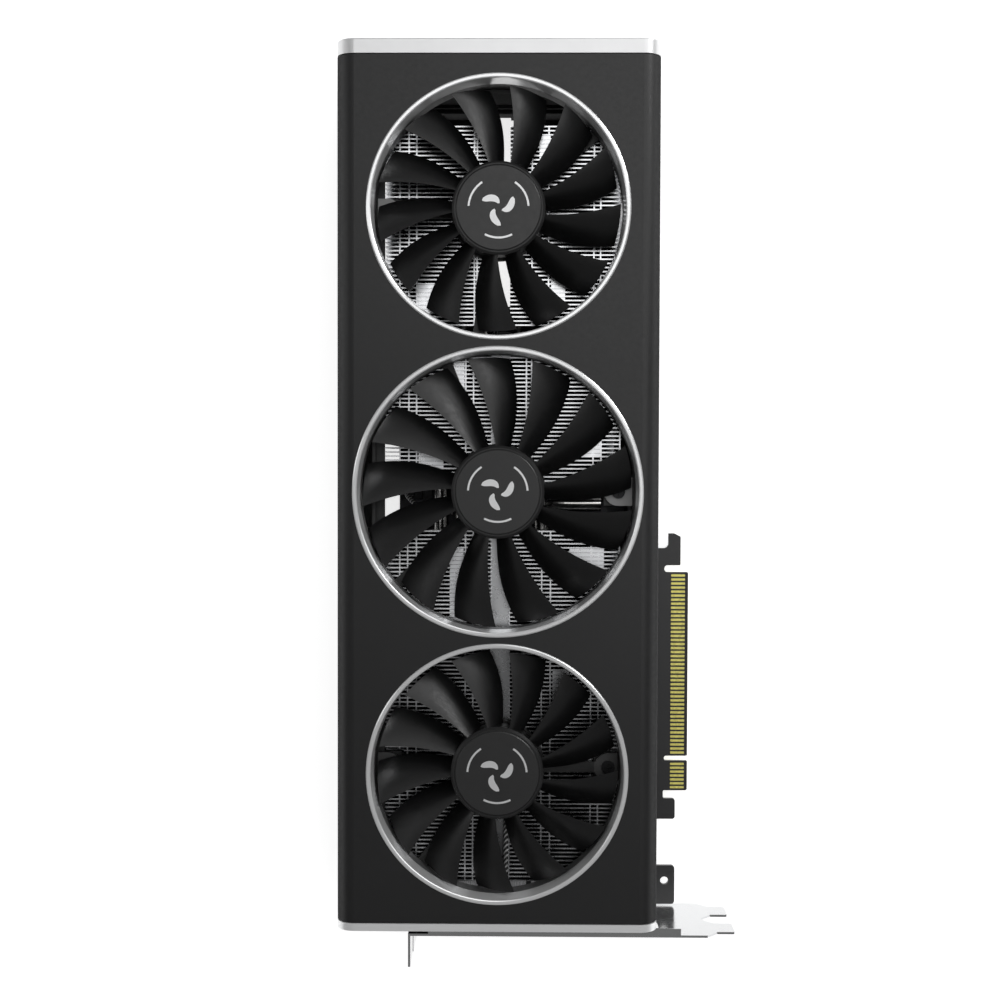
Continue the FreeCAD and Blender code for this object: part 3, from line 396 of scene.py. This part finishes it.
def make_materials():
    along_x, along_y = (60.0, 5200.0, 5200.0), (5200.0, 60.0, 5200.0)
    black = (0.011, 0.011, 0.0115)
    return {
        "shroud_plastic": shroud_moulding("satin_black_plastic", black),
        "fan_plastic": moulded_plastic("fan_black_plastic", (0.007, 0.007, 0.0073), 0.42, 3200.0, 0.000004),
        "badge_plastic": moulded_plastic("badge_plastic", (0.021, 0.021, 0.0213), 0.36, 4000.0, 0.000002),
        "socket_plastic": moulded_plastic("socket_plastic", (0.018, 0.018, 0.018), 0.45),
        "chip_epoxy": moulded_plastic("chip_epoxy", (0.022, 0.022, 0.024), 0.55),
        "lead_rubber": twisted_lead("lead_rubber"),
        "thermal_pad": moulded_plastic("thermal_pad", (0.30, 0.33, 0.38), 0.8, 900.0, 0.00005),
        "board_laminate": coated_board("solder_mask"),
        "backplate_metal": moulded_plastic("black_powder_coat", (0.022, 0.022, 0.023), 0.42,
                                           1400.0, 0.00004),
        "black_screw": smooth_metal("black_oxide", (0.10, 0.10, 0.105), 0.35),
        "regulator_metal": brushed_metal("black_anodised", (0.07, 0.07, 0.075), 0.4, along_x),
        "silver_trim": silver_paint("silver_trim", 0.80),
        "nickel_copper": smooth_metal("nickel_plate", (0.78, 0.77, 0.75), 0.18),
        "polished_steel": smooth_metal("polished_steel", (0.72, 0.73, 0.74), 0.16),
        "port_steel": brushed_metal("port_steel", (0.66, 0.66, 0.67), 0.28, along_y),
        "bracket_steel": smooth_metal("bracket_steel", (0.64, 0.645, 0.65), 0.16, 0.01),
        "magnet": smooth_metal("sintered_magnet", (0.13, 0.13, 0.14), 0.5),
        "motor_core": smooth_metal("copper_winding", (0.75, 0.38, 0.20), 0.35, 0.15),
        "bronze": smooth_metal("bronze", (0.62, 0.44, 0.24), 0.4),
        "gold_contact": gold_plate("gold_contact"),
        "silicon": smooth_metal("silicon", (0.25, 0.26, 0.30), 0.08),
    }


def node_finishes():
    """Finishes of single nodes that differ from the rest of their slot."""
    special = {}
    for name in ("far", "mid", "io"):
        node = "heatsink_fins_" + name
        low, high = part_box(node)
        special[node] = fin_light_and_shade("fin_light_and_shade_" + name, high.z, (low.x, high.x), name == "io")
    # grey of each frame's ears; the io fan's ears are darkened to 0.06 as painted shade
    ear_grey_and_shade = {"fan_far": 0.42, "fan_mid": 0.40, "fan_io": 0.06}
    for joint in frame["joints"]:
        body, centre_y = joint["child"], joint["pos_m"][1]
        name = body.removeprefix("fan_")
        low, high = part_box("fan_bezel_" + name)
        crest_radius = (high.x - low.x) / 2 - CREST_WIDTH
        special["fan_bezel_" + name] = bezel_finish("bezel_" + name, centre_y, crest_radius)
        special["fan_frame_" + name] = frame_moulding("frame_moulding_" + name, ear_grey_and_shade[body],
                                                      centre_y)
    special["fan_screws"] = smooth_metal("fan_screw_black", (0.028, 0.028, 0.029), 0.45)
    # end caps: the silver trim paint made lighter as painted light, the io cap most
    special["end_cap_far"] = silver_paint("far_cap_painted_light", 0.86)
    special["end_cap_io"] = silver_paint("io_cap_painted_light", 0.97)
    special["fan_ducts"] = moulded_plastic("duct_plastic", (0.085, 0.085, 0.086), 0.44)
    return special


def dress_nodes(materials):
    special = node_finishes()
    for part in frame["record"]["subparts"]:
        node = nodes[part["node"]]
        material = special.get(part["node"]) or materials[part["material_slot"]]
        node.data.materials.clear()
        node.data.materials.append(material)


# ---- pieces made here ----------------------------------------------------------------------
def add_piece(name, shape, material, body):
    """Turns a bmesh, made in millimetres in the shared frame, into a piece that rides on a body."""
    shape.normal_update()
    bmesh.ops.scale(shape, vec=(MM, MM, MM), verts=shape.verts)
    mesh = bpy.data.meshes.new(name)
    shape.to_mesh(mesh)
    shape.free()
    mesh.materials.append(material)
    piece = bpy.data.objects.new(name, mesh)
    bpy.context.scene.collection.objects.link(piece)
    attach(piece, body)


def prism(shape, outline, low, high):
    """Adds a flat plate with the outline's shape."""
    layers = [[shape.verts.new((x, y, z)) for x, y in outline] for z in (low, high)]
    lower, upper = layers
    for i in range(len(outline)):
        j = (i + 1) % len(outline)
        shape.faces.new((lower[i], lower[j], upper[j], upper[i]))
    shape.faces.new(upper)
    shape.faces.new(lower[::-1])


def polar(radius, degrees, centre):
    angle = math.radians(degrees)
    return (centre[0] + radius * math.cos(angle), centre[1] + radius * math.sin(angle))


def arc_band(inner, outer, start, end, centre, steps=24):
    """Outline of a flat ring sector, counter-clockwise."""
    angles = [start + (end - start) * i / steps for i in range(steps + 1)]
    return [polar(outer, a, centre) for a in angles] + [polar(inner, a, centre) for a in reversed(angles)]


def swirl_lobe(start, centre, steps=16):
    """Outline of one lobe of the round fan mark."""
    lead, trail = [], []
    for i in range(steps + 1):
        way = i / steps
        radius = 1.5 + 4.9 * way
        middle = start + 62.0 * way ** 0.9
        half = 25.0 * math.sin(math.pi * (0.16 + 0.80 * way)) ** 0.8
        lead.append(polar(radius, middle - half, centre))
        trail.append(polar(radius, middle + half, centre))
    return lead + trail[::-1]


def hub_mark(name, body, centre, top, material):
    """Generic mark on a hub: three lobes round the middle and three arcs outside them."""
    shape = bmesh.new()
    for number in range(3):
        prism(shape, swirl_lobe(90 + number * 120, centre), top + MARK_FOOT, top + MARK_TOP)
        middle = 30 + number * 120
        arc = arc_band(MARK_ARC_INNER, MARK_ARC_OUTER,
                       middle - MARK_ARC_HALF, middle + MARK_ARC_HALF, centre)
        prism(shape, arc, top + MARK_FOOT, top + MARK_TOP)
    add_piece(name, shape, material, body)


# ---- build ---------------------------------------------------------------------------------
scene = bpy.context.scene
scene.view_settings.view_transform = "Standard"
make_camera()
make_world()
make_lights()
make_floor()
finishes = make_materials()
dress_nodes(finishes)

for joint in frame["joints"]:
    fan_body = joint["child"]
    fan_name = fan_body.removeprefix("fan_")
    hub_x, hub_y = (value / MM for value in joint["pos_m"][:2])
    badge_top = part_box("hub_badge_" + fan_name)[1].z / MM
    hub_mark("hub_mark_" + fan_name, fan_body, (hub_x, hub_y), badge_top, finishes["silver_trim"])
